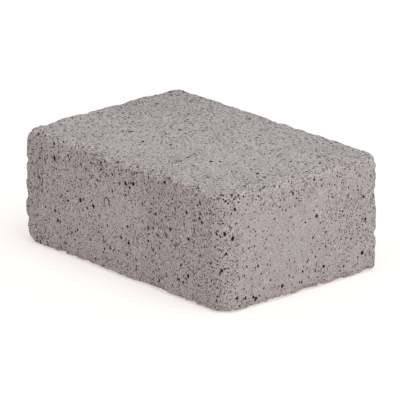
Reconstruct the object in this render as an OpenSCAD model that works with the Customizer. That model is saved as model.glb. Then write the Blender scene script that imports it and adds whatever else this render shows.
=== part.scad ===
// Rigid foam brick: one solid block of open, gritty foam.
//
// The block is a plain rectangle in plan with its four upright corners rounded off, and a
// finer rounding runs along every edge of its top and bottom. It stands on Z = 0 with the
// origin at the middle of its base. Its length runs along X, its width along Y and its
// height along Z. All sizes are in millimetres.

/* [Brick] */
// Length of the brick, end face to end face
brick_length = 150; // [80:1:240]
// Width of the brick, long side to long side
brick_width = 103; // [60:1:150]
// Height of the brick, base to top
brick_height = 60; // [25:1:100]

/* [Rounding] */
// Radius of the four upright corners, seen from above
corner_radius = 7; // [4:0.5:25]
// Radius of the rounding along the edges of the top and the bottom
edge_radius = 3; // [0.5:0.1:3.8]

/* [Hidden] */
// Steps in a full circle; the rounded surfaces are true arcs at any value above 12
$fn = 96;

// Straight stretch of a long side, between the tangent lines of its two upright corners
side_run = brick_length - 2 * corner_radius;
// Straight stretch of an end face, between the tangent lines of its two upright corners
end_run = brick_width - 2 * corner_radius;

// Dusty warm grey of the foam
foam_colour = [0.65, 0.63, 0.61];

// Upright section through the edge of the brick. It reaches from the plane at X = 0 out to the
// face at X = depth, and its two outer corners carry the rounding of the top and bottom edges.
module edge_section(depth) {
    flat_depth = depth - edge_radius;
    intersection() {
        square([depth, brick_height]);
        union() {
            square([flat_depth, brick_height]);
            translate([0, edge_radius])
                square([depth, brick_height - 2 * edge_radius]);
            for (level = [edge_radius, brick_height - edge_radius])
                translate([flat_depth, level])
                    circle(r = edge_radius);
        }
    }
}

// Half of the brick's middle, from the centre plane out to the long side that faces +Y
module side_half() {
    rotate([90, 0, 90])
        linear_extrude(side_run, center = true)
            edge_section(brick_width / 2);
}

// Flat stretch of the end that faces +X, between its two upright corners
module end_strip() {
    translate([side_run / 2, 0, 0])
        rotate([90, 0, 0])
            linear_extrude(end_run, center = true)
                edge_section(corner_radius);
}

// Upright corner between the +X end and the +Y side: a quarter turn of the edge section
module upright_corner() {
    translate([side_run / 2, end_run / 2, 0])
        rotate_extrude(angle = 90)
            edge_section(corner_radius);
}

// The whole brick. Each piece above is drawn on both sides of the centre planes, and
// neighbouring pieces meet face to face, so the result is one solid with smooth edges.
module foam_brick() {
    color(foam_colour)
        union() {
            for (y_side = [0, 1])
                mirror([0, y_side, 0])
                    side_half();
            for (x_side = [0, 1])
                mirror([x_side, 0, 0]) {
                    end_strip();
                    for (y_side = [0, 1])
                        mirror([0, y_side, 0])
                            upright_corner();
                }
        }
}

foam_brick();
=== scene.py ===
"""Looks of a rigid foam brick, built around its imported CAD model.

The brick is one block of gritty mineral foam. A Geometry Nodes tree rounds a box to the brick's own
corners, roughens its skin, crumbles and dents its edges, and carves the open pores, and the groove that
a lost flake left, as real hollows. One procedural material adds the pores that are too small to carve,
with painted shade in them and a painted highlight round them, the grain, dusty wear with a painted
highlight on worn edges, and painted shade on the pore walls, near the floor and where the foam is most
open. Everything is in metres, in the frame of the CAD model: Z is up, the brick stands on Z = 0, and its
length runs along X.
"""

import logging
import math
from dataclasses import dataclass, field
from enum import Enum
from typing import Any

import bpy
import numpy as np
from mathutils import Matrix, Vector


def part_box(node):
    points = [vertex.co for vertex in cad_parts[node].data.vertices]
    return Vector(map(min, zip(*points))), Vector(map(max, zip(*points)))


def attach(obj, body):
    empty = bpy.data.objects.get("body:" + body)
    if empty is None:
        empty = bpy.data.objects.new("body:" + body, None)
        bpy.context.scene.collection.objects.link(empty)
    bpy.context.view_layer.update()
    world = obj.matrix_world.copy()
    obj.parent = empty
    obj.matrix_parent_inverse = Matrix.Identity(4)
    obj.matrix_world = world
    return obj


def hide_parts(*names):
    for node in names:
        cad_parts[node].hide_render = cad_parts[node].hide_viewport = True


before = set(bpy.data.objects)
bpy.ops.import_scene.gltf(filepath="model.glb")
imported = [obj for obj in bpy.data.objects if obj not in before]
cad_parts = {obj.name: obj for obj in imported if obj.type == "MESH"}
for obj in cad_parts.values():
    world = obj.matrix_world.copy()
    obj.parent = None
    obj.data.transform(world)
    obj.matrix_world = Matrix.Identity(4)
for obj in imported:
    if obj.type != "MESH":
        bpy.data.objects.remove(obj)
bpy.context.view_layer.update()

MM = 0.001
CM2 = 0.0001
TINY = 1e-9

log = logging.getLogger("foam_brick")


# ----------------------------------------------------------------------------------------------
# Node trees
# ----------------------------------------------------------------------------------------------


@dataclass(frozen=True)
class Mottle:
    """Smooth noise, eased from low to high as it goes from start to end.

    Width is that of its lumps, and detail is how many finer layers it has.
    """

    width: float
    start: float = 0.0
    end: float = 1.0
    low: float = 0.0
    high: float = 1.0
    detail: float = 1.0
    seed: float = 0.0


class TreeMaker:
    """Adds nodes to one node tree and wires them as it goes."""

    def __init__(self, tree: bpy.types.NodeTree) -> None:
        """Works on a tree that may hold nodes already.

        Args:
            tree: The geometry or shader node tree to add to.
        """
        self.tree = tree

    def feed(self, socket: bpy.types.NodeSocket, value: Any) -> None:
        """Links a socket to another one, or sets its constant.

        Args:
            socket: The input to feed.
            value: A socket, several sockets for a multi-input, or a plain value.
        """
        sources = value if isinstance(value, list) else [value]
        for source in sources:
            if isinstance(source, bpy.types.NodeSocket):
                self.tree.links.new(source, socket)
            else:
                socket.default_value = source

    def add(self, kind: str, feeds: dict[int | str, Any] | None = None, **settings: Any) -> bpy.types.Node:
        """Adds one node, and sets its properties before it feeds its inputs.

        Args:
            kind: Blender's name for the node's type.
            feeds: What each input gets, by the input's name or number.
            **settings: The node's own properties.

        Returns:
            The new node.
        """
        node = self.tree.nodes.new(kind)
        for name, value in settings.items():
            setattr(node, name, value)
        for key, value in (feeds or {}).items():
            self.feed(node.inputs[key], value)
        return node

    def math(self, operation: str, *terms: Any, clamp: bool = False) -> bpy.types.NodeSocket:
        """Returns the result of a Math node on one to three numbers."""
        feeds = dict(enumerate(terms))
        return self.add("ShaderNodeMath", feeds, operation=operation, use_clamp=clamp).outputs[0]

    def vector(self, operation: str, *terms: Any) -> bpy.types.NodeSocket:
        """Returns the vector from a Vector Math node on one or two vectors."""
        return self.add("ShaderNodeVectorMath", dict(enumerate(terms)), operation=operation).outputs[0]

    def scaled(self, vector: Any, factor: Any) -> bpy.types.NodeSocket:
        """Returns a vector times a number."""
        feeds = {"Vector": vector, "Scale": factor}
        return self.add("ShaderNodeVectorMath", feeds, operation="SCALE").outputs[0]

    def length(self, vector: Any) -> bpy.types.NodeSocket:
        """Returns a vector's length."""
        return self.add("ShaderNodeVectorMath", {0: vector}, operation="LENGTH").outputs["Value"]

    def combine(self, x: Any, y: Any, z: Any) -> bpy.types.NodeSocket:
        """Returns a vector made of three numbers."""
        return self.add("ShaderNodeCombineXYZ", {0: x, 1: y, 2: z}).outputs[0]

    def separate(self, vector: Any) -> list[bpy.types.NodeSocket]:
        """Returns a vector's three numbers."""
        return list(self.add("ShaderNodeSeparateXYZ", {0: vector}).outputs)

    def remap(
        self, value: Any, start: Any, end: Any, low: Any = 0.0, high: Any = 1.0
    ) -> bpy.types.NodeSocket:
        """Eases a number from one range to another, and holds it at the ends.

        Args:
            value: The number to change.
            start: Where the result is low.
            end: Where the result is high.
            low: The result at start and before it.
            high: The result at end and past it.

        Returns:
            The eased number.
        """
        feeds = {"Value": value, "From Min": start, "From Max": end, "To Min": low, "To Max": high}
        node = self.add("ShaderNodeMapRange", feeds, interpolation_type="SMOOTHSTEP")
        return node.outputs["Result"]

    def between(self, share: Any, first: Any, second: Any) -> bpy.types.NodeSocket:
        """Returns a number that goes from first to second as share goes from 0 to 1."""
        return self.add("ShaderNodeMix", {0: share, 2: first, 3: second}, data_type="FLOAT").outputs[0]

    def blend(self, share: Any, first: Any, second: Any, mode: str = "MIX") -> bpy.types.NodeSocket:
        """Returns a colour between two others.

        Args:
            share: How much of the second colour there is, from 0 to 1.
            first: The colour at 0.
            second: The colour at 1.
            mode: Blender's name for the way they mix.

        Returns:
            The mixed colour.
        """
        feeds = {0: share, 6: first, 7: second}
        return self.add("ShaderNodeMix", feeds, data_type="RGBA", blend_type=mode).outputs[2]

    def noise(self, place: Any, mottle: Mottle, seed: Any = None) -> bpy.types.NodeSocket:
        """Returns a mottle's smooth noise, about 0.5, before it is eased.

        Args:
            place: The position to read it at, in the unit of the mottle's width.
            mottle: The pattern to read.
            seed: Picks another pattern, in place of the mottle's own seed.

        Returns:
            The noise's value.
        """
        feeds = {"Vector": place, "W": mottle.seed if seed is None else seed,
                 "Scale": 1.0 / mottle.width, "Detail": mottle.detail}
        return self.add("ShaderNodeTexNoise", feeds, noise_dimensions="4D").outputs[0]

    def ease(self, noise: Any, mottle: Mottle) -> bpy.types.NodeSocket:
        """Returns a mottle's noise, eased to its own range."""
        return self.remap(noise, mottle.start, mottle.end, mottle.low, mottle.high)

    def mottled(self, place: Any, mottle: Mottle, seed: Any = None) -> bpy.types.NodeSocket:
        """Returns a mottle's eased value at a place."""
        return self.ease(self.noise(place, mottle, seed), mottle)


# ----------------------------------------------------------------------------------------------
# The shape of the brick
# ----------------------------------------------------------------------------------------------


class Side(Enum):
    """The brick's six sides: the axis that each faces along, and its direction on that axis."""

    TOP = (2, 1)
    BASE = (2, -1)
    FRONT = (1, -1)
    BACK = (1, 1)
    RIGHT = (0, 1)
    LEFT = (0, -1)


@dataclass(frozen=True)
class CornerRadii:
    """Plan radii of the four upright corners, in metres: handling has worn the front right one most."""

    front_left: float = 3.2 * MM
    front_right: float = 11.0 * MM
    back_left: float = 6.0 * MM
    back_right: float = 4.5 * MM


@dataclass(frozen=True)
class Relief:
    """How deep the skin is cut below the true faces, in metres, and in which patterns."""

    wave_depth: float = 0.3 * MM
    waves: Mottle = Mottle(width=30.0 * MM, start=0.4, end=0.7)
    grit_depth: float = 0.8 * MM
    grit: Mottle = Mottle(width=3.0 * MM, start=0.42, end=0.8, detail=3.0)
    crumble_depth: float = 3.2 * MM
    crumbs: Mottle = Mottle(width=2.6 * MM, start=0.48, end=0.7, detail=3.0)
    crumble_reach: float = 5.0 * MM


@dataclass(frozen=True)
class Wear:
    """Where handling shows: near the edges, and along the ridge of each upright corner.

    An upright corner's ridge is told by x times y of its outward direction, which is a half there. The
    skin counts as facing up by the z of that direction.
    """

    # Edge wear also places the painted highlight along the dusty edges.
    reach: float = 22.0 * MM
    ridge_start: float = 0.483
    ridge_end: float = 0.498
    level_start: float = 0.5
    level_end: float = 0.9


@dataclass(frozen=True)
class Knock:
    """A knocked corner, or a dent in an edge; its place is a share of half the brick's size."""

    place: tuple[float, float, float]
    depth: float
    reach: float


@dataclass(frozen=True)
class Flake:
    """A groove, like a horseshoe, where a flake came off the front; its place is from the side's middle.

    A rod cuts it: groove is the rod's radius, sink is how deep its middle line lies, and steps and facets
    are its pieces along and round it. Shade is how dark the painted shade on its walls is, beside a pore's.
    """

    along: float = -11.0 * MM
    up: float = 6.0 * MM
    half_width: float = 1.7 * MM
    half_height: float = 2.8 * MM
    groove: float = 0.55 * MM
    sink: float = 0.5 * MM
    shade: float = 0.65
    lean: float = math.radians(-10.0)
    start: float = math.radians(-35.0)
    sweep: float = math.radians(260.0)
    steps: int = 14
    facets: int = 6


@dataclass(frozen=True)
class Zone:
    """A round area of the skin that is calmer or more open than the rest: openness is 1 elsewhere."""

    place: tuple[float, float, float]
    reach: float
    openness: float


@dataclass(frozen=True)
class Openness:
    """How open the foam is: factors on how many pores there are, by side, by zone and in patterns."""

    sides: dict[Side, float] = field(default_factory=lambda: {
        Side.TOP: 1.5, Side.BASE: 0.3, Side.FRONT: 1.9, Side.BACK: 1.1, Side.RIGHT: 0.75, Side.LEFT: 0.75,
    })
    zones: tuple[Zone, ...] = (
        # Calm in the middle of the front, and in the middle and at the foot of the right end, whose
        # back part is open.
        Zone((0.0, -1.0, 0.1), 26.0 * MM, 0.2),
        Zone((1.0, -0.15, 0.0), 30.0 * MM, 0.3),
        Zone((1.0, 0.6, 0.1), 24.0 * MM, 1.2),
        Zone((1.0, -0.35, -0.7), 26.0 * MM, 0.45),
        # On the top, calm to the right of the middle and open towards the left and the back.
        Zone((0.4, -0.15, 1.0), 36.0 * MM, 0.55),
        Zone((-1.0, 0.7, 1.0), 75.0 * MM, 2.1),
        Zone((0.2, 1.1, 1.0), 60.0 * MM, 1.25),
        # Open at both ends of the front, and above its calm middle to the right.
        Zone((-1.0, -1.0, 0.2), 42.0 * MM, 1.7),
        Zone((0.36, -1.0, 0.4), 30.0 * MM, 1.8),
        Zone((1.0, -1.0, -0.2), 26.0 * MM, 1.5),
        # Calm in the middle of the back and of the left end.
        Zone((0.25, 1.0, -0.2), 26.0 * MM, 0.35),
        Zone((-1.0, 0.2, 0.1), 26.0 * MM, 0.4),
    )
    patches: Mottle = Mottle(width=20.0 * MM, start=0.36, end=0.62, low=0.88, high=1.12)
    streaks: Mottle = Mottle(width=3.0 * MM, start=0.38, end=0.66, low=0.6, high=1.6)
    streak_squeeze: tuple[float, float, float] = (1.0, 1.0, 0.2)
    inland: float = 0.9
    at_edges: float = 1.25


class Bubble(Enum):
    """How a bubble is faceted: how many segments it has round its upright axis, and how many rings."""

    CONE = (6, 2)
    DROP = (6, 3)
    BALL = (8, 4)


@dataclass(frozen=True)
class PoreGrade:
    """One size of open pore, carved as a bowl with a crisp rim; follow says how much openness moves it."""

    name: str
    per_cm2: float
    follow: float
    smallest: float
    largest: float
    bubble: Bubble
    seed: int


@dataclass(frozen=True)
class Scatter:
    """How the bubbles of one grade differ: lift and stretch are shares of the radius, lean is in radians.

    A skew above 1 makes most of them nearly as small as the grade's smallest.
    """

    skew: float = 2.2
    lift: float = 0.5
    across: tuple[float, float] = (0.8, 1.15)
    upright: tuple[float, float] = (0.9, 1.4)
    lean: float = 0.2
    shapes: int = 4
    lumps: Mottle = Mottle(width=0.9, start=0.25, end=0.75, low=0.72, high=1.25, detail=0.0)


class BrickTree(TreeMaker):
    """The Geometry Nodes tree that rounds, roughens and carves the brick."""

    def __init__(self) -> None:
        """Makes an empty tree with a geometry output."""
        super().__init__(bpy.data.node_groups.new("foam_brick_shape", "GeometryNodeTree"))
        self.tree.interface.new_socket("Geometry", in_out="OUTPUT", socket_type="NodeSocketGeometry")
        self.entry = self.add("NodeGroupInput")
        self.values: dict[str, Any] = {}

    def size(self, name: str, value: Any, kind: str = "NodeSocketFloat") -> bpy.types.NodeSocket:
        """Adds a named input to the tree.

        Args:
            name: What the input is called.
            value: What the brick sets it to.
            kind: Blender's name for the input's type.

        Returns:
            The input's socket inside the tree.
        """
        item = self.tree.interface.new_socket(name, in_out="INPUT", socket_type=kind)
        self.values[item.identifier] = value
        return self.entry.outputs[name]

    def random(self, low: float, high: float, seed: Any) -> bpy.types.NodeSocket:
        """Returns a random number for each element, from low to high."""
        return self.add("FunctionNodeRandomValue", {2: low, 3: high, "Seed": seed}).outputs[1]

    def evaluate(self, piece: bpy.types.Object) -> bpy.types.Mesh:
        """Runs the tree on an object once.

        Args:
            piece: The object to run it on; the modifier is gone again afterwards.

        Returns:
            The plain mesh that comes out.
        """
        modifier = piece.modifiers.new("shape", "NODES")
        modifier.node_group = self.tree
        for identifier, value in self.values.items():
            modifier[identifier] = value
        graph = bpy.context.evaluated_depsgraph_get()
        mesh = bpy.data.meshes.new_from_object(piece.evaluated_get(graph))
        piece.modifiers.remove(modifier)
        return mesh


@dataclass
class FoamBrick:
    """The brick itself: its sizes, its shape and its finish."""

    low: Vector
    high: Vector
    edge_radius: float = 3.0 * MM
    corners: CornerRadii = CornerRadii()
    relief: Relief = Relief()
    knocks: tuple[Knock, ...] = (
        # Three knocked corners.
        Knock((-1.0, -1.0, -1.0), 2.3 * MM, 10.0 * MM),
        Knock((-1.0, -1.0, 1.0), 2.8 * MM, 9.0 * MM),
        Knock((1.0, 1.0, 1.0), 1.8 * MM, 9.0 * MM),
        # Shallow hollows in four of the edges.
        Knock((-1.0, -1.0, 0.5), 0.5 * MM, 12.0 * MM),
        Knock((-1.0, -0.75, 1.0), 0.7 * MM, 12.0 * MM),
        Knock((-0.4, -1.0, -1.0), 0.5 * MM, 30.0 * MM),
        Knock((1.0, 1.0, 0.25), 0.8 * MM, 8.0 * MM),
        # Dents down the front left edge.
        Knock((-1.0, -1.0, 0.72), 0.9 * MM, 4.0 * MM),
        Knock((-1.0, -1.0, 0.2), 0.9 * MM, 4.5 * MM),
        Knock((-1.0, -1.0, -0.62), 1.4 * MM, 5.0 * MM),
        # Dents along the foot of the right end.
        Knock((1.0, -0.6, -1.0), 0.4 * MM, 5.0 * MM),
        Knock((1.0, 0.05, -1.0), 0.9 * MM, 7.0 * MM),
        Knock((1.0, 0.5, -1.0), 0.9 * MM, 5.0 * MM),
        Knock((1.0, 0.87, -1.0), 1.2 * MM, 7.0 * MM),
        # Dents along the top of the left end.
        Knock((-1.0, 0.75, 1.0), 0.7 * MM, 12.0 * MM),
        Knock((-1.0, 0.25, 1.0), 0.5 * MM, 5.0 * MM),
        Knock((-1.0, -0.25, 1.0), 0.6 * MM, 5.0 * MM),
        # Wear along the foot of the front.
        Knock((0.25, -1.0, -1.0), 0.6 * MM, 16.0 * MM),
        Knock((1.0, -1.0, -1.0), 0.4 * MM, 12.0 * MM),
    )
    openness: Openness = Openness()
    grades: tuple[PoreGrade, ...] = (
        PoreGrade("coarse pore", 1.15, 0.3, 0.55 * MM, 1.05 * MM, Bubble.BALL, 21),
        PoreGrade("common pore", 2.95, 0.6, 0.4 * MM, 0.6 * MM, Bubble.DROP, 34),
        PoreGrade("fine pore", 2.9, 0.8, 0.28 * MM, 0.4 * MM, Bubble.CONE, 55),
    )
    scatter: Scatter = Scatter()
    flake: Flake = Flake()
    wear: Wear = Wear()
    rim_mark: float = 0.5
    rim_slack: float = 0.2
    mesh_pitch: float = 1.9 * MM
    fewest_rows: int = 8
    edge_crowding: float = 0.26
    map_gap: float = 3.0 * MM
    seed: int = 7

    @property
    def extent(self) -> Vector:
        """Length, width and height."""
        return self.high - self.low

    def build(self, finish: "FoamFinish") -> bpy.types.Object:
        """Makes the whole brick.

        Args:
            finish: The foam's material.

        Returns:
            The finished piece, at the origin, with its place in its mesh.
        """
        piece = bpy.data.objects.new("foam_brick_body", bpy.data.meshes.new("foam_brick_body"))
        bpy.context.scene.collection.objects.link(piece)
        empty = piece.data
        tree = self._shape_tree(finish.material())
        piece.data = tree.evaluate(piece)
        bpy.data.meshes.remove(empty)
        piece.data.name = piece.name
        self._unwrap(piece.data)
        return piece

    def _shape_tree(self, material: bpy.types.Material) -> BrickTree:
        """Builds the tree: a rounded blank, its skin, its pores and its surface attributes.

        Args:
            material: What the result is made of.

        Returns:
            The tree, with its inputs set.
        """
        tree = BrickTree()
        extent = tree.size("Brick size", tuple(self.extent), "NodeSocketVector")
        half = tree.scaled(extent, 0.5)
        seed = tree.size("Seed", self.seed, "NodeSocketInt")
        blank, outward = self._blank(tree, extent, half)
        skin = self._roughened(tree, blank, outward, half, seed)
        carved = self._carved(tree, skin, half, seed)
        shell = self._shaded(tree, self._marked(tree, carved, skin, half))
        middle = (self.low + self.high) / 2
        placed = tree.add("GeometryNodeTransform", {"Geometry": shell, "Translation": middle})
        real = tree.add("GeometryNodeRealizeInstances", {"Geometry": placed.outputs[0]})
        finish = tree.size("Foam", material, "NodeSocketMaterial")
        dressed = tree.add("GeometryNodeSetMaterial", {"Geometry": real.outputs[0], "Material": finish})
        tree.add("NodeGroupOutput", {0: dressed.outputs[0]})
        return tree

    def _blank(
        self, tree: BrickTree, extent: bpy.types.NodeSocket, half: bpy.types.NodeSocket
    ) -> tuple[bpy.types.NodeSocket, bpy.types.NodeSocket]:
        """Rounds a box: every point goes to the nearest place on the rounded brick.

        Args:
            tree: The tree to add to.
            extent: The brick's size.
            half: Half of it.

        Returns:
            The rounded mesh, and the attribute with each point's outward direction.
        """
        counts = [max(self.fewest_rows, round(side / self.mesh_pitch)) for side in self.extent]
        feeds = {"Size": extent, "Vertices X": counts[0], "Vertices Y": counts[1], "Vertices Z": counts[2]}
        box = tree.add("GeometryNodeMeshCube", feeds).outputs["Mesh"]

        place = tree.add("GeometryNodeInputPosition").outputs[0]
        share = tree.vector("DIVIDE", place, half)
        crowding = tree.size("Edge crowding", self.edge_crowding)
        thinning = tree.scaled(tree.vector("MULTIPLY", share, share), crowding)
        stretch = tree.math("ADD", crowding, 1.0)
        spread = tree.vector("SUBTRACT", tree.combine(stretch, stretch, stretch), thinning)
        point = tree.vector("MULTIPLY", place, spread)

        x, y, _ = tree.separate(point)
        on_right = tree.math("GREATER_THAN", x, 0.0)
        on_back = tree.math("GREATER_THAN", y, 0.0)
        front = tree.between(on_right, tree.size("Front left radius", self.corners.front_left),
                             tree.size("Front right radius", self.corners.front_right))
        back = tree.between(on_right, tree.size("Back left radius", self.corners.back_left),
                            tree.size("Back right radius", self.corners.back_right))
        corner = tree.between(on_back, front, back)
        edge = tree.size("Edge radius", self.edge_radius)

        core = tree.vector("SUBTRACT", half, tree.combine(corner, corner, edge))
        nearest = tree.vector("MINIMUM", tree.vector("MAXIMUM", point, tree.scaled(core, -1.0)), core)
        aside = tree.vector("MULTIPLY", tree.vector("SUBTRACT", point, nearest), (1.0, 1.0, 0.0))
        reach = tree.math("MAXIMUM", tree.length(aside), TINY)
        inset = tree.math("DIVIDE", tree.math("SUBTRACT", corner, edge), reach)
        inner = tree.vector("ADD", nearest, tree.scaled(aside, tree.math("MINIMUM", inset, 1.0)))
        outward = tree.vector("NORMALIZE", tree.vector("SUBTRACT", point, inner))

        kept = tree.add("GeometryNodeStoreNamedAttribute",
                        {"Geometry": box, "Name": "outward", "Value": outward}, data_type="FLOAT_VECTOR")
        surface = tree.vector("ADD", inner, tree.scaled(self._named(tree, "outward", "FLOAT_VECTOR"), edge))
        rounded = tree.add("GeometryNodeSetPosition", {"Geometry": kept.outputs[0], "Position": surface})
        return rounded.outputs[0], self._named(tree, "outward", "FLOAT_VECTOR")

    @staticmethod
    def _named(tree: BrickTree, name: str, kind: str) -> bpy.types.NodeSocket:
        """Reads an attribute that an earlier step stored."""
        return tree.add("GeometryNodeInputNamedAttribute", {"Name": name}, data_type=kind).outputs[0]

    @staticmethod
    def _edge_distance(tree: BrickTree, half: bpy.types.NodeSocket) -> bpy.types.NodeSocket:
        """Measures how far each point of the surface is from the brick's nearest edge.

        Args:
            tree: The tree to add to.
            half: Half of the brick's size.

        Returns:
            The distance, in metres.
        """
        place = tree.add("GeometryNodeInputPosition").outputs[0]
        inside = tree.separate(tree.vector("SUBTRACT", half, tree.vector("ABSOLUTE", place)))
        nearer = tree.math("MINIMUM", inside[0], inside[1])
        farther = tree.math("MAXIMUM", inside[0], inside[1])
        return tree.math("MAXIMUM", nearer, tree.math("MINIMUM", farther, inside[2]))

    def _roughened(
        self,
        tree: BrickTree,
        blank: bpy.types.NodeSocket,
        outward: bpy.types.NodeSocket,
        half: bpy.types.NodeSocket,
        seed: bpy.types.NodeSocket,
    ) -> bpy.types.NodeSocket:
        """Sinks the skin below the true faces: long waves, grit, crumbled edges and knocked corners.

        Args:
            tree: The tree to add to.
            blank: The rounded mesh.
            outward: Each point's outward direction.
            half: Half of the brick's size.
            seed: Picks the pattern.

        Returns:
            The roughened mesh.
        """
        relief = self.relief
        place = tree.add("GeometryNodeInputPosition").outputs[0]
        waves = tree.mottled(place, relief.waves, seed)
        grit = tree.mottled(place, relief.grit, seed)
        crumbs = tree.mottled(place, relief.crumbs, seed)
        near = tree.remap(self._edge_distance(tree, half), relief.crumble_reach, 0.0)
        sunk = tree.math("MULTIPLY", tree.size("Wave depth", relief.wave_depth), waves)
        sunk = tree.math("MULTIPLY_ADD", tree.size("Grit depth", relief.grit_depth), grit, sunk)
        crumbled = tree.math("MULTIPLY", crumbs, near)
        sunk = tree.math("MULTIPLY_ADD", tree.size("Crumble depth", relief.crumble_depth), crumbled, sunk)
        for number, knock in enumerate(self.knocks, start=1):
            middle = tree.vector("MULTIPLY", half, knock.place)
            distance = tree.length(tree.vector("SUBTRACT", place, middle))
            dent = tree.remap(distance, knock.reach, 0.0)
            sunk = tree.math("MULTIPLY_ADD", tree.size(f"Knock {number} depth", knock.depth), dent, sunk)
        inward = tree.scaled(outward, tree.math("MULTIPLY", sunk, -1.0))
        rough = tree.add("GeometryNodeSetPosition", {"Geometry": blank, "Offset": inward}).outputs[0]
        feeds = {"Geometry": rough, "Name": "openness", "Value": self._openness(tree, half, seed)}
        return tree.add("GeometryNodeStoreNamedAttribute", feeds, data_type="FLOAT").outputs[0]

    def _openness(
        self, tree: BrickTree, half: bpy.types.NodeSocket, seed: bpy.types.NodeSocket
    ) -> bpy.types.NodeSocket:
        """Says how open the foam is: by side, in patches, by zone and towards the edges.

        Args:
            tree: The tree to add to.
            half: Half of the brick's size.
            seed: Picks the pattern.

        Returns:
            A factor of about 1.
        """
        openness = self.openness
        place = tree.add("GeometryNodeInputPosition").outputs[0]
        facing = tree.separate(self._named(tree, "outward", "FLOAT_VECTOR"))
        share: Any = 0.0
        for side, value in openness.sides.items():
            axis, direction = side.value
            towards = tree.math("MAXIMUM", tree.math("MULTIPLY", facing[axis], float(direction)), 0.0)
            weight = tree.math("MULTIPLY", towards, towards)
            factor = tree.size(f"{side.name.title()} openness", value)
            share = tree.math("MULTIPLY_ADD", weight, factor, share)
        patches = tree.mottled(place, openness.patches, seed)
        to_edge = self._edge_distance(tree, half)
        edge = tree.remap(to_edge, self.wear.reach, 0.0, openness.inland, openness.at_edges)
        share = tree.math("MULTIPLY", tree.math("MULTIPLY", share, patches), edge)
        for number, zone in enumerate(openness.zones, start=1):
            away = tree.length(tree.vector("SUBTRACT", place, tree.vector("MULTIPLY", half, zone.place)))
            factor = tree.remap(away, 0.0, tree.size(f"Zone {number} reach", zone.reach), zone.openness, 1.0)
            share = tree.math("MULTIPLY", share, factor)
        return share

    def _carved(
        self,
        tree: BrickTree,
        skin: bpy.types.NodeSocket,
        half: bpy.types.NodeSocket,
        seed: bpy.types.NodeSocket,
    ) -> bpy.types.NodeSocket:
        """Scatters bubbles over the skin and takes them, and the flake's groove, out of the block at once.

        Args:
            tree: The tree to add to.
            skin: The roughened mesh.
            half: Half of the brick's size.
            seed: Picks the pattern.

        Returns:
            The carved mesh, whose pore walls carry their painted shade in the face attribute "pore_wall".
        """
        place = tree.add("GeometryNodeInputPosition").outputs[0]
        squeezed = tree.vector("MULTIPLY", place, self.openness.streak_squeeze)
        streaks = tree.mottled(squeezed, self.openness.streaks, seed)
        cutters = [self._bubbles(tree, skin, streaks, grade) for grade in self.grades]
        cutters.append(self._flake_groove(tree, half))
        feeds = {"Mesh 1": skin, "Mesh 2": cutters}
        cut = tree.add("GeometryNodeMeshBoolean", feeds, operation="DIFFERENCE", solver="MANIFOLD")
        return cut.outputs[0]

    def _bubbles(
        self, tree: BrickTree, skin: bpy.types.NodeSocket, streaks: bpy.types.NodeSocket, grade: PoreGrade
    ) -> bpy.types.NodeSocket:
        """Sets one size of bubble on the skin, stretched along Z, the way the foam rose.

        Args:
            tree: The tree to add to.
            skin: The mesh they sit on.
            streaks: The upright streaks that crowd them together.
            grade: Their size and number.

        Returns:
            The bubbles, as instances.
        """
        scatter = self.scatter
        shapes = [self._bubble_shape(tree, grade, number) for number in range(scatter.shapes)]
        choice = tree.add("GeometryNodeJoinGeometry", {0: shapes}).outputs[0]
        openness = tree.math("POWER", self._named(tree, "openness", "FLOAT"), grade.follow)
        crowd = tree.math("MULTIPLY", openness, streaks)
        per_m2 = tree.size(f"{grade.name.title()}s per m2", grade.per_cm2 / CM2)
        density = tree.math("MULTIPLY", crowd, per_m2)
        spots = tree.add("GeometryNodeDistributePointsOnFaces",
                         {"Mesh": skin, "Density": density, "Seed": grade.seed}, distribute_method="RANDOM")
        smallest = tree.size(f"Smallest {grade.name}", grade.smallest)
        largest = tree.size(f"Largest {grade.name}", grade.largest)
        skewed = tree.math("POWER", tree.random(0.0, 1.0, grade.seed + 1), scatter.skew)
        radius = tree.between(skewed, smallest, largest)
        lift = tree.math("MULTIPLY", radius, tree.random(0.0, scatter.lift, grade.seed + 2))
        lifted = tree.add("GeometryNodeSetPosition", {
            "Geometry": spots.outputs["Points"], "Offset": tree.scaled(spots.outputs["Normal"], lift)})
        proportions = tree.combine(tree.random(*scatter.across, grade.seed + 3),
                                   tree.random(*scatter.across, grade.seed + 4),
                                   tree.random(*scatter.upright, grade.seed + 5))
        lean = tree.combine(tree.random(-scatter.lean, scatter.lean, grade.seed + 6),
                            tree.random(-scatter.lean, scatter.lean, grade.seed + 7),
                            tree.random(-math.pi, math.pi, grade.seed + 8))
        which = tree.add("FunctionNodeRandomValue",
                         {4: 0, 5: scatter.shapes - 1, "Seed": grade.seed + 9}, data_type="INT").outputs[2]
        return tree.add("GeometryNodeInstanceOnPoints", {
            "Points": lifted.outputs[0], "Instance": choice, "Pick Instance": True, "Instance Index": which,
            "Rotation": lean, "Scale": tree.scaled(proportions, radius)}).outputs[0]

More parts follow.
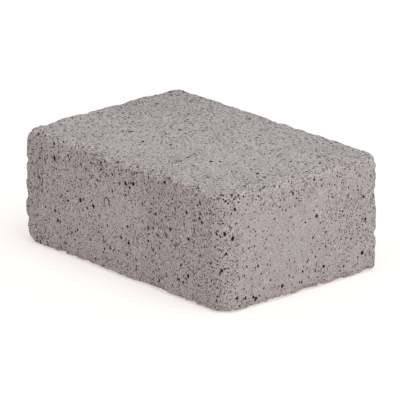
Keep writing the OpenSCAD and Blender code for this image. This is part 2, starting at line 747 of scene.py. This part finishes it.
    def _flake_groove(self, tree: BrickTree, half: bpy.types.NodeSocket) -> bpy.types.NodeSocket:
        """Bends a thin rod into the horseshoe that the flake left on the front.

        Args:
            tree: The tree to add to.
            half: Half of the brick's size.

        Returns:
            The rod, in its place, with painted shade on its walls.
        """
        flake = self.flake
        arc = tree.add("GeometryNodeCurveArc", {
            "Resolution": flake.steps, "Radius": 1.0, "Start Angle": flake.start, "Sweep Angle": flake.sweep})
        upright = tree.add("GeometryNodeTransform", {
            "Geometry": arc.outputs[0], "Rotation": (math.pi / 2, flake.lean, 0.0),
            "Scale": (flake.half_width, flake.half_height, 1.0)})
        _, depth, _ = tree.separate(half)
        front = tree.math("MULTIPLY_ADD", depth, -1.0, flake.sink)
        placed = tree.add("GeometryNodeTransform", {
            "Geometry": upright.outputs[0], "Translation": tree.combine(flake.along, front, flake.up)})
        section = tree.add("GeometryNodeCurvePrimitiveCircle", {
            "Resolution": flake.facets, "Radius": tree.size("Flake groove", flake.groove)})
        rod = tree.add("GeometryNodeCurveToMesh", {
            "Curve": placed.outputs[0], "Profile Curve": section.outputs[0], "Fill Caps": True})
        return self._as_wall(tree, rod.outputs[0], flake.shade)

    @staticmethod
    def _as_wall(tree: BrickTree, cutter: bpy.types.NodeSocket, shade: float = 1.0) -> bpy.types.NodeSocket:
        """Marks a cutter's faces, which become the walls of what it cuts, as pore wall, 1 being darkest."""
        # The value is how strong the painted shade on these walls is.
        feeds = {"Geometry": cutter, "Name": "pore_wall", "Value": shade}
        return tree.add("GeometryNodeStoreNamedAttribute", feeds, data_type="FLOAT", domain="FACE").outputs[0]

    def _bubble_shape(self, tree: BrickTree, grade: PoreGrade, number: int) -> bpy.types.NodeSocket:
        """Makes one lopsided ball of radius 1 whose faces are marked as pore wall.

        Args:
            tree: The tree to add to.
            grade: The pores it is for.
            number: Picks the shape.

        Returns:
            The ball, as an instance.
        """
        segments, rings = grade.bubble.value
        feeds = {"Segments": segments, "Rings": rings, "Radius": 1.0}
        ball = tree.add("GeometryNodeMeshUVSphere", feeds).outputs[0]
        place = tree.add("GeometryNodeInputPosition").outputs[0]
        lumps = tree.mottled(place, self.scatter.lumps, float(grade.seed + 10 * number))
        bent = tree.add("GeometryNodeSetPosition", {"Geometry": ball, "Position": tree.scaled(place, lumps)})
        # Every face of the ball gets full painted shade.
        wall = self._as_wall(tree, bent.outputs[0])
        return tree.add("GeometryNodeGeometryToInstance", {0: wall}).outputs[0]

    def _marked(
        self,
        tree: BrickTree,
        carved: bpy.types.NodeSocket,
        skin: bpy.types.NodeSocket,
        half: bpy.types.NodeSocket,
    ) -> bpy.types.NodeSocket:
        """Stores what the material needs: depth below the skin in millimetres, openness, wear and facing.

        Args:
            tree: The tree to add to.
            carved: The mesh with its pores.
            skin: The mesh before they were carved.
            half: Half of the brick's size.

        Returns:
            The carved mesh with "pore_depth", "openness", "edge_wear" and "facing_up" on its points.
        """
        wear = self.wear
        gap = tree.add("GeometryNodeProximity", {0: skin}, target_element="FACES").outputs["Distance"]
        openness = self._of_skin(tree, skin, "openness", "FLOAT")
        along, across, upward = tree.separate(self._of_skin(tree, skin, "outward", "FLOAT_VECTOR"))
        turned = tree.math("ABSOLUTE", tree.math("MULTIPLY", along, across))
        ridge = tree.remap(turned, wear.ridge_start, wear.ridge_end)
        edge = tree.remap(self._edge_distance(tree, half), wear.reach, 0.0)
        # edge_wear places rubbing, dusty wear and a painted highlight; pore_depth, painted shade.
        marks = {
            "pore_depth": tree.math("DIVIDE", gap, MM),
            "openness": openness,
            "edge_wear": tree.math("MAXIMUM", edge, ridge),
            "facing_up": tree.remap(upward, wear.level_start, wear.level_end),
        }
        marked = carved
        for name, value in marks.items():
            feeds = {"Geometry": marked, "Name": name, "Value": value}
            marked = tree.add("GeometryNodeStoreNamedAttribute", feeds, data_type="FLOAT").outputs[0]
        return marked

    def _of_skin(
        self, tree: BrickTree, skin: bpy.types.NodeSocket, name: str, kind: str
    ) -> bpy.types.NodeSocket:
        """Returns an attribute of the skin at the place on it that is nearest."""
        feeds = {"Mesh": skin, "Value": self._named(tree, name, kind)}
        return tree.add("GeometryNodeSampleNearestSurface", feeds, data_type=kind).outputs[0]

    def _shaded(self, tree: BrickTree, shell: bpy.types.NodeSocket) -> bpy.types.NodeSocket:
        """Shades the skin smooth and keeps the rims of the pores crisp.

        Args:
            tree: The tree to add to.
            shell: The carved mesh. An edge between skin and pore wall reads half of the wall's painted shade.

        Returns:
            The same mesh, shaded.
        """
        feeds = {"Geometry": shell, "Shade Smooth": True}
        smooth = tree.add("GeometryNodeSetShadeSmooth", feeds, domain="FACE")
        shade = self._named(tree, "pore_wall", "FLOAT")
        is_rim = tree.math("COMPARE", shade, self.rim_mark, self.rim_slack)
        feeds = {"Geometry": smooth.outputs[0], "Selection": is_rim, "Shade Smooth": False}
        return tree.add("GeometryNodeSetShadeSmooth", feeds, domain="EDGE").outputs[0]

    def _unwrap(self, mesh: bpy.types.Mesh) -> None:
        """Lays the six sides out flat on one map, each pore with the side that it is in.

        Args:
            mesh: The finished mesh, which gets the UV map "OFBake".
        """
        gap = self.map_gap
        length, width, height = self.extent
        first, second, third = length + gap, width + gap, height + gap
        spots = {
            Side.TOP: (0.0, 0.0), Side.BASE: (0.0, second), Side.FRONT: (0.0, 2 * second),
            Side.RIGHT: (first, 0.0), Side.LEFT: (first, third), Side.BACK: (first, 2 * third),
        }
        sheet = max(first + second, 2 * second + height, 2 * third + length) + gap

        points = np.empty(len(mesh.vertices) * 3)
        mesh.vertices.foreach_get("co", points)
        points = points.reshape(-1, 3) - np.array(self.low)
        corners = np.empty(len(mesh.loops), dtype=np.int64)
        mesh.loops.foreach_get("vertex_index", corners)
        middles = np.empty(len(mesh.polygons) * 3)
        mesh.polygons.foreach_get("center", middles)
        middles = middles.reshape(-1, 3) - np.array(self.low)
        totals = np.empty(len(mesh.polygons), dtype=np.int64)
        mesh.polygons.foreach_get("loop_total", totals)

        size = np.array(self.extent)
        depths = []
        for axis, direction in (side.value for side in Side):
            above = middles[:, axis]
            depths.append(size[axis] - above if direction > 0 else above)
        nearest = np.repeat(np.stack(depths, axis=1).argmin(axis=1), totals)
        flat = np.zeros((len(corners), 2))
        for number, side in enumerate(Side):
            chosen = nearest == number
            across, up = [axis for axis in (0, 1, 2) if axis != side.value[0]]
            if side is Side.BACK:
                across, up = up, across
            place = points[corners[chosen]]
            flat[chosen, 0] = place[:, across] + spots[side][0] + gap
            flat[chosen, 1] = place[:, up] + spots[side][1] + gap
        layer = mesh.uv_layers.new(name="OFBake")
        layer.data.foreach_set("uv", (flat / sheet).ravel())


# ----------------------------------------------------------------------------------------------
# The finish of the foam
# ----------------------------------------------------------------------------------------------


@dataclass(frozen=True)
class FinePores:
    """One layer of pores too small to carve; cell and depth are in millimetres.

    Widest is a share of the room that a bubble has in its cell, and on_sides is how open the layer is
    where the skin doesn't face up. Darkness is how strong the shade painted in its pores is.
    """

    cell: float
    widest: float
    open_share: float
    depth: float
    darkness: float
    seed: float
    on_sides: float = 1.0


@dataclass(frozen=True)
class SlicedBubbles:
    """Bubbles in space, sliced by the surface: one in each cell of a Voronoi pattern.

    The bend, in millimetres, and its ripples, per millimetre, take the roundness off them. Narrowest is
    the smallest bubble beside the widest, and faintest the palest painted pore shade beside the darkest.
    Crisp, which is how soft a pore's outline is, and the start and end of the ring of painted highlight
    round it are shares of a cell.
    """

    bend: float = 0.12
    ripples: float = 1.2
    squeeze: tuple[float, float, float] = (1.0, 1.0, 0.8)
    randomness: float = 0.85
    narrowest: float = 0.75
    faintest: float = 0.7
    crisp: float = 0.05
    rim_highlight_start: float = -0.14
    rim_highlight_end: float = -0.02

    def group(self) -> bpy.types.NodeTree:
        """Builds the node group.

        Returns:
            A group with two outputs: the first is 1 inside a pore, where shade is painted, and the second is
                1
            along the thin wall round it, where a pale highlight is painted.
        """
        group = bpy.data.node_groups.new("sliced_bubbles", "ShaderNodeTree")
        group.interface.new_socket("Place", in_out="INPUT", socket_type="NodeSocketVector")
        for name in ("Cell size", "Widest", "Open share", "Openness", "Seed"):
            group.interface.new_socket(name, in_out="INPUT", socket_type="NodeSocketFloat")
        for name in ("Pit", "Rim"):
            group.interface.new_socket(name, in_out="OUTPUT", socket_type="NodeSocketFloat")
        sheet = TreeMaker(group)
        entry = sheet.add("NodeGroupInput").outputs
        ripples = {"Vector": entry["Place"], "Scale": self.ripples, "Detail": 1.0}
        bent = sheet.add("ShaderNodeTexNoise", ripples).outputs["Color"]
        offset = sheet.scaled(sheet.vector("SUBTRACT", bent, (0.5, 0.5, 0.5)), self.bend)
        squeezed = sheet.vector("MULTIPLY", sheet.vector("ADD", entry["Place"], offset), self.squeeze)
        moved = sheet.vector("ADD", squeezed, sheet.combine(entry["Seed"], entry["Seed"], entry["Seed"]))
        scale = sheet.math("DIVIDE", 1.0, entry["Cell size"])
        feeds = {"Vector": moved, "Scale": scale, "Randomness": self.randomness}
        cells = sheet.add("ShaderNodeTexVoronoi", feeds)
        room = sheet.add("ShaderNodeTexVoronoi", feeds, feature="N_SPHERE_RADIUS").outputs["Radius"]
        chance, size, shade = sheet.separate(cells.outputs["Color"])
        limit = sheet.math("MULTIPLY", entry["Open share"], entry["Openness"])
        is_open = sheet.math("LESS_THAN", chance, limit)
        share = sheet.math("MULTIPLY", entry["Widest"], sheet.remap(size, 0.0, 1.0, self.narrowest, 1.0))
        margin = sheet.math("SUBTRACT", sheet.math("MULTIPLY", room, share), cells.outputs["Distance"])
        strength = sheet.math("MULTIPLY", is_open, sheet.remap(shade, 0.0, 1.0, self.faintest, 1.0))
        # Painted shade: how strongly this pore is painted dark.
        shaded_pit = sheet.math("MULTIPLY", sheet.remap(margin, 0.0, self.crisp), strength)
        # Painted highlight: a pale ring on the thin wall round each open pore.
        near = sheet.math("MULTIPLY", sheet.remap(margin, self.rim_highlight_start, self.rim_highlight_end), is_open)
        rim = sheet.math("SUBTRACT", near, shaded_pit, clamp=True)
        sheet.add("NodeGroupOutput", {"Pit": shaded_pit, "Rim": rim})
        return group


@dataclass(frozen=True)
class FoamFinish:
    """Matte, dusty mineral foam. Colours are linear, and lengths are in millimetres.

    A falloff is the power that draws rubbing, or dusty wear with its painted highlight, in towards the
    edges. Painted shade darkens the foam to shaded as its openness goes from shade_start to shade_end,
    and to painted_floor_shade near the floor. The shade painted on a pore's wall is at its full darkness
    from wall_full_depth down.
    """

    skin_light: tuple[float, float, float] = (0.449, 0.392, 0.376)
    skin_dark: tuple[float, float, float] = (0.425, 0.364, 0.347)
    worn: tuple[float, float, float] = (0.475, 0.387, 0.352)
    # Dusty wear on the edges, brightened into a painted highlight.
    dust_and_highlight: tuple[float, float, float] = (0.6, 0.505, 0.475)
    # Painted highlight on the thin walls round the pores too small to carve.
    rim: tuple[float, float, float] = (0.6, 0.53, 0.515)
    # Painted shade on the walls of carved pores and of the groove.
    pore_wall: tuple[float, float, float] = (0.045, 0.018, 0.014)
    # Painted shade in the pores too small to carve.
    shaded_pit: tuple[float, float, float] = (0.085, 0.026, 0.022)
    roughness: float = 0.93
    specular: float = 0.08
    layers: tuple[FinePores, ...] = (
        # Each layer paints shade in its pores; the first is painted only where the skin faces up.
        FinePores(cell=2.0, widest=1.0, open_share=0.23, depth=0.5, darkness=1.0, seed=130.0, on_sides=0.0),
        FinePores(cell=1.7, widest=0.95, open_share=0.33, depth=0.35, darkness=1.0, seed=0.0, on_sides=0.5),
        FinePores(cell=1.15, widest=1.0, open_share=0.58, depth=0.3, darkness=1.0, seed=50.0),
        FinePores(cell=0.75, widest=1.05, open_share=0.75, depth=0.15, darkness=0.85, seed=90.0),
    )
    bubbles: SlicedBubbles = SlicedBubbles()
    streaks: Mottle = Mottle(width=2.0, start=0.38, end=0.62, low=0.7, high=1.3, seed=31.0)
    streak_squeeze: tuple[float, float, float] = (1.0, 1.0, 0.16)
    tone: Mottle = Mottle(width=9.0, start=0.35, end=0.65, detail=6.0, seed=3.0)
    grain: Mottle = Mottle(width=0.5, start=0.25, end=0.75, low=0.58, high=1.4, detail=3.0, seed=5.0)
    sand: Mottle = Mottle(width=1.0, start=0.3, end=0.7, low=0.92, high=1.08, seed=17.0)
    swell: Mottle = Mottle(width=1.5, detail=2.0, seed=11.0)
    rubbing: Mottle = Mottle(width=2.5, start=0.36, end=0.58, detail=3.0, seed=9.0)
    dust_and_highlight_spots: Mottle = Mottle(width=1.5, start=0.42, end=0.6, detail=2.0, seed=23.0)
    rubbed: float = 0.85
    rubbed_falloff: float = 5.0
    dust_and_highlight_strength: float = 0.5
    dust_and_highlight_falloff: float = 30.0
    # Painted shade near the floor.
    painted_floor_shade: float = 0.92
    painted_floor_shade_reach: float = 40.0
    shaded: float = 0.9
    shade_start: float = 1.6
    shade_end: float = 3.6
    red_grain: float = 0.76
    rim_highlight_strength: float = 0.5
    swell_height: float = 0.25
    grain_height: float = 0.16
    wall_at_rim: float = 0.75
    wall_full_depth: float = 0.25

    def material(self) -> bpy.types.Material:
        """Builds the foam's material.

        Returns:
            A material that reads Object coordinates and the brick's own attributes.
        """
        material = bpy.data.materials.new("rigid_foam")
        material.use_nodes = True
        material.node_tree.nodes.clear()
        sheet = TreeMaker(material.node_tree)
        in_mm = sheet.scaled(sheet.add("ShaderNodeTexCoord").outputs["Object"], 1.0 / MM)
        openness = self._attribute(sheet, "openness")
        grain = sheet.noise(in_mm, self.grain)
        skin = self._skin(sheet, in_mm, grain, openness)
        low_grain = sheet.math("MULTIPLY", grain, self.grain_height)
        height = sheet.math("MULTIPLY_ADD", sheet.noise(in_mm, self.swell), self.swell_height, low_grain)
        pored, height = self._fine_pores(sheet, in_mm, openness, skin, height)
        # Painted shade: carved walls are painted dark, partly at the rim and fully from wall_full_depth down.
        depth = self._attribute(sheet, "pore_depth")
        sunk = sheet.remap(depth, 0.0, self.wall_full_depth, self.wall_at_rim, 1.0)
        wall = sheet.math("MULTIPLY", self._attribute(sheet, "pore_wall"), sunk)
        colour = sheet.blend(wall, pored, (*self.pore_wall, 1.0))

        bump = sheet.add("ShaderNodeBump", {"Height": height, "Strength": 1.0, "Distance": MM})
        shader = sheet.add("ShaderNodeBsdfPrincipled", {
            "Base Color": colour, "Roughness": self.roughness, "Specular IOR Level": self.specular,
            "Normal": bump.outputs[0]})
        sheet.add("ShaderNodeOutputMaterial", {"Surface": shader.outputs[0]})
        return material

    def _skin(self, sheet: TreeMaker, in_mm: Any, grain: Any, openness: Any) -> bpy.types.NodeSocket:
        """Colours the skin between its pores: tone, rubbed edges, dusty wear with a painted highlight,
        painted shade and grain.

        Args:
            sheet: The material's tree.
            in_mm: Object coordinates, in millimetres.
            grain: The grain's noise.
            openness: How open the foam is.

        Returns:
            The skin's colour.
        """
        wear = self._attribute(sheet, "edge_wear")
        skin = sheet.blend(sheet.mottled(in_mm, self.tone), (*self.skin_dark, 1.0), (*self.skin_light, 1.0))
        # Rubbed edges are wear; the pale band along the edges is dusty wear and a painted highlight.
        for pattern, falloff, strength, colour in (
            (self.rubbing, self.rubbed_falloff, self.rubbed, self.worn),
            (self.dust_and_highlight_spots, self.dust_and_highlight_falloff, self.dust_and_highlight_strength, self.dust_and_highlight),
        ):
            near = sheet.math("POWER", wear, falloff)
            spots = sheet.math("MULTIPLY", near, sheet.mottled(in_mm, pattern))
            skin = sheet.blend(sheet.math("MULTIPLY", spots, strength), skin, (*colour, 1.0))
        # Painted shade: darker towards the floor.
        _, _, level = sheet.separate(in_mm)
        painted_floor_shade = sheet.remap(level, 0.0, self.painted_floor_shade_reach, self.painted_floor_shade, 1.0)
        # Painted shade where the foam is most open, for the shade in its many pores.
        shaded = sheet.remap(openness, self.shade_start, self.shade_end, 1.0, self.shaded)
        shade = sheet.math("MULTIPLY", painted_floor_shade, shaded)
        skin = sheet.blend(1.0, skin, sheet.combine(shade, shade, shade), "MULTIPLY")
        speckle = sheet.math("MULTIPLY", sheet.ease(grain, self.grain), sheet.mottled(in_mm, self.sand))
        red = sheet.math("POWER", speckle, self.red_grain)
        return sheet.blend(1.0, skin, sheet.combine(red, speckle, speckle), "MULTIPLY")

    def _fine_pores(
        self, sheet: TreeMaker, in_mm: Any, openness: Any, skin: Any, height: Any
    ) -> tuple[bpy.types.NodeSocket, bpy.types.NodeSocket]:
        """Lays the pores too small to carve over the skin, layer by layer.

        Args:
            sheet: The material's tree.
            in_mm: Object coordinates, in millimetres.
            openness: How open the foam is.
            skin: The skin's colour.
            height: The skin's height, in millimetres.

        Returns:
            The colour, with painted shade in the pores and a painted highlight round them, and the height
            with the pores in them.
        """
        squeezed = sheet.vector("MULTIPLY", in_mm, self.streak_squeeze)
        streaked = sheet.math("MULTIPLY", openness, sheet.mottled(squeezed, self.streaks))
        facing_up = self._attribute(sheet, "facing_up")
        group = self.bubbles.group()
        for layer in self.layers:
            spread = sheet.math("MULTIPLY", streaked, sheet.between(facing_up, layer.on_sides, 1.0))
            feeds = {"Place": in_mm, "Cell size": layer.cell, "Widest": layer.widest,
                     "Open share": layer.open_share, "Openness": spread, "Seed": layer.seed}
            found = sheet.add("ShaderNodeGroup", feeds, node_tree=group).outputs
            shaded_pit = found["Pit"]
            # Painted highlight on the thin wall round each pore of this layer.
            rim = sheet.math("MULTIPLY", found["Rim"], self.rim_highlight_strength)
            skin = sheet.blend(rim, skin, (*self.rim, 1.0))
            # Painted shade in the pores of this layer.
            skin = sheet.blend(sheet.math("MULTIPLY", shaded_pit, layer.darkness), skin, (*self.shaded_pit, 1.0))
            height = sheet.math("MULTIPLY_ADD", shaded_pit, -layer.depth, height)
        return skin, height

    @staticmethod
    def _attribute(sheet: TreeMaker, name: str) -> bpy.types.NodeSocket:
        """Reads one of the brick's own attributes as a number."""
        return sheet.add("ShaderNodeAttribute", attribute_name=name).outputs["Fac"]


# ----------------------------------------------------------------------------------------------
# The studio
# ----------------------------------------------------------------------------------------------


@dataclass(frozen=True)
class SoftLight:
    """A wide light far away, placed by azimuth and elevation; its spread softens its shadows."""

    name: str
    azimuth: float
    elevation: float
    spread: float
    strength: float
    colour: tuple[float, float, float]


@dataclass(frozen=True)
class Studio:
    """A pale floor, soft lights and the camera. Azimuth 0 looks along +Y, and angles are in degrees."""

    target: Vector
    floor_radius: float = 40.0
    floor_points: int = 96
    floor_colour: tuple[float, float, float] = (0.5, 0.46, 0.44)
    floor_glow: tuple[float, float, float] = (0.54, 0.51, 0.49)
    floor_roughness: float = 0.9
    floor_specular: float = 0.1
    world_colour: tuple[float, float, float] = (0.8, 0.92, 1.0)
    world_strength: float = 0.582
    lights: tuple[SoftLight, ...] = (
        SoftLight("key", 80.0, 70.0, 50.0, 2.02, (0.965, 0.98, 0.98)),
        SoftLight("side fill", 100.0, 18.0, 60.0, 0.22, (0.54, 0.94, 1.0)),
    )
    camera_azimuth: float = 48.2
    camera_elevation: float = 18.7
    camera_distance: float = 2.257
    camera_drop: float = 1.15 * MM
    lens: float = 410.0
    sensor: float = 36.0
    view_reach: float = 100.0

    @staticmethod
    def direction(azimuth: float, elevation: float) -> Vector:
        """Returns the unit vector from the brick towards a light or camera at those angles."""
        turn, climb = math.radians(azimuth), math.radians(elevation)
        return Vector((math.sin(turn) * math.cos(climb), -math.cos(turn) * math.cos(climb), math.sin(climb)))

    def build(self) -> None:
        """Sets up the floor, the lights, the surroundings and the camera."""
        self._floor()
        for light in self.lights:
            self._light(light)
        self._world()
        self._camera()
        bpy.context.scene.view_settings.view_transform = "Standard"

    def _floor(self) -> None:
        """Lays a round, pale, matte floor at Z = 0, lit a little from within like a light table."""
        turns = np.linspace(0.0, 2 * math.pi, self.floor_points, endpoint=False)
        radius = self.floor_radius
        ring = [(radius * math.cos(turn), radius * math.sin(turn), 0.0) for turn in turns]
        mesh = bpy.data.meshes.new("floor")
        mesh.from_pydata(ring, [], [list(range(len(ring)))])
        floor = bpy.data.objects.new("floor", mesh)
        bpy.context.scene.collection.objects.link(floor)
        material = bpy.data.materials.new("pale_floor")
        material.use_nodes = True
        shader = material.node_tree.nodes["Principled BSDF"]
        shader.inputs["Base Color"].default_value = (*self.floor_colour, 1.0)
        shader.inputs["Emission Color"].default_value = (*self.floor_glow, 1.0)
        shader.inputs["Emission Strength"].default_value = 1.0
        shader.inputs["Roughness"].default_value = self.floor_roughness
        shader.inputs["Specular IOR Level"].default_value = self.floor_specular
        mesh.materials.append(material)

    def _light(self, soft: SoftLight) -> None:
        """Adds one soft light and turns it towards the brick.

        Args:
            soft: The light to add.
        """
        data = bpy.data.lights.new(soft.name, "SUN")
        data.angle = math.radians(soft.spread)
        data.energy = soft.strength
        data.color = soft.colour
        light = bpy.data.objects.new(soft.name, data)
        away = self.direction(soft.azimuth, soft.elevation)
        light.location = self.target + away
        light.rotation_euler = away.to_track_quat("Z", "Y").to_euler()
        bpy.context.scene.collection.objects.link(light)

    def _world(self) -> None:
        """Surrounds everything with even, pale blue light."""
        world = bpy.data.worlds.new("studio")
        world.use_nodes = True
        background = world.node_tree.nodes["Background"]
        background.inputs["Color"].default_value = (*self.world_colour, 1.0)
        background.inputs["Strength"].default_value = self.world_strength
        bpy.context.scene.world = world

    def _camera(self) -> None:
        """Places the camera and aims it a little under the brick's middle."""
        data = bpy.data.cameras.new("camera")
        data.lens = self.lens
        data.sensor_width = self.sensor
        data.clip_end = self.view_reach
        camera = bpy.data.objects.new("camera", data)
        away = self.direction(self.camera_azimuth, self.camera_elevation)
        facing = away.to_track_quat("Z", "Y")
        up = facing @ Vector((0.0, 1.0, 0.0))
        camera.location = self.target + away * self.camera_distance - up * self.camera_drop
        camera.rotation_euler = facing.to_euler()
        bpy.context.scene.collection.objects.link(camera)
        bpy.context.scene.camera = camera


def main() -> None:
    """Builds the studio and the brick, and reports each piece."""
    logging.basicConfig(level=logging.INFO, format="%(message)s")
    low, high = (Vector(corner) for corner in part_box("foam_brick"))
    Studio(target=(low + high) / 2).build()
    brick = FoamBrick(low, high)
    piece = brick.build(FoamFinish())
    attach(piece, "root")
    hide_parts("foam_brick")
    mesh = piece.data
    mesh.calc_loop_triangles()
    log.info("%s: %d points, %d triangles", piece.name, len(mesh.vertices), len(mesh.loop_triangles))


if __name__ == "__main__":
    main()
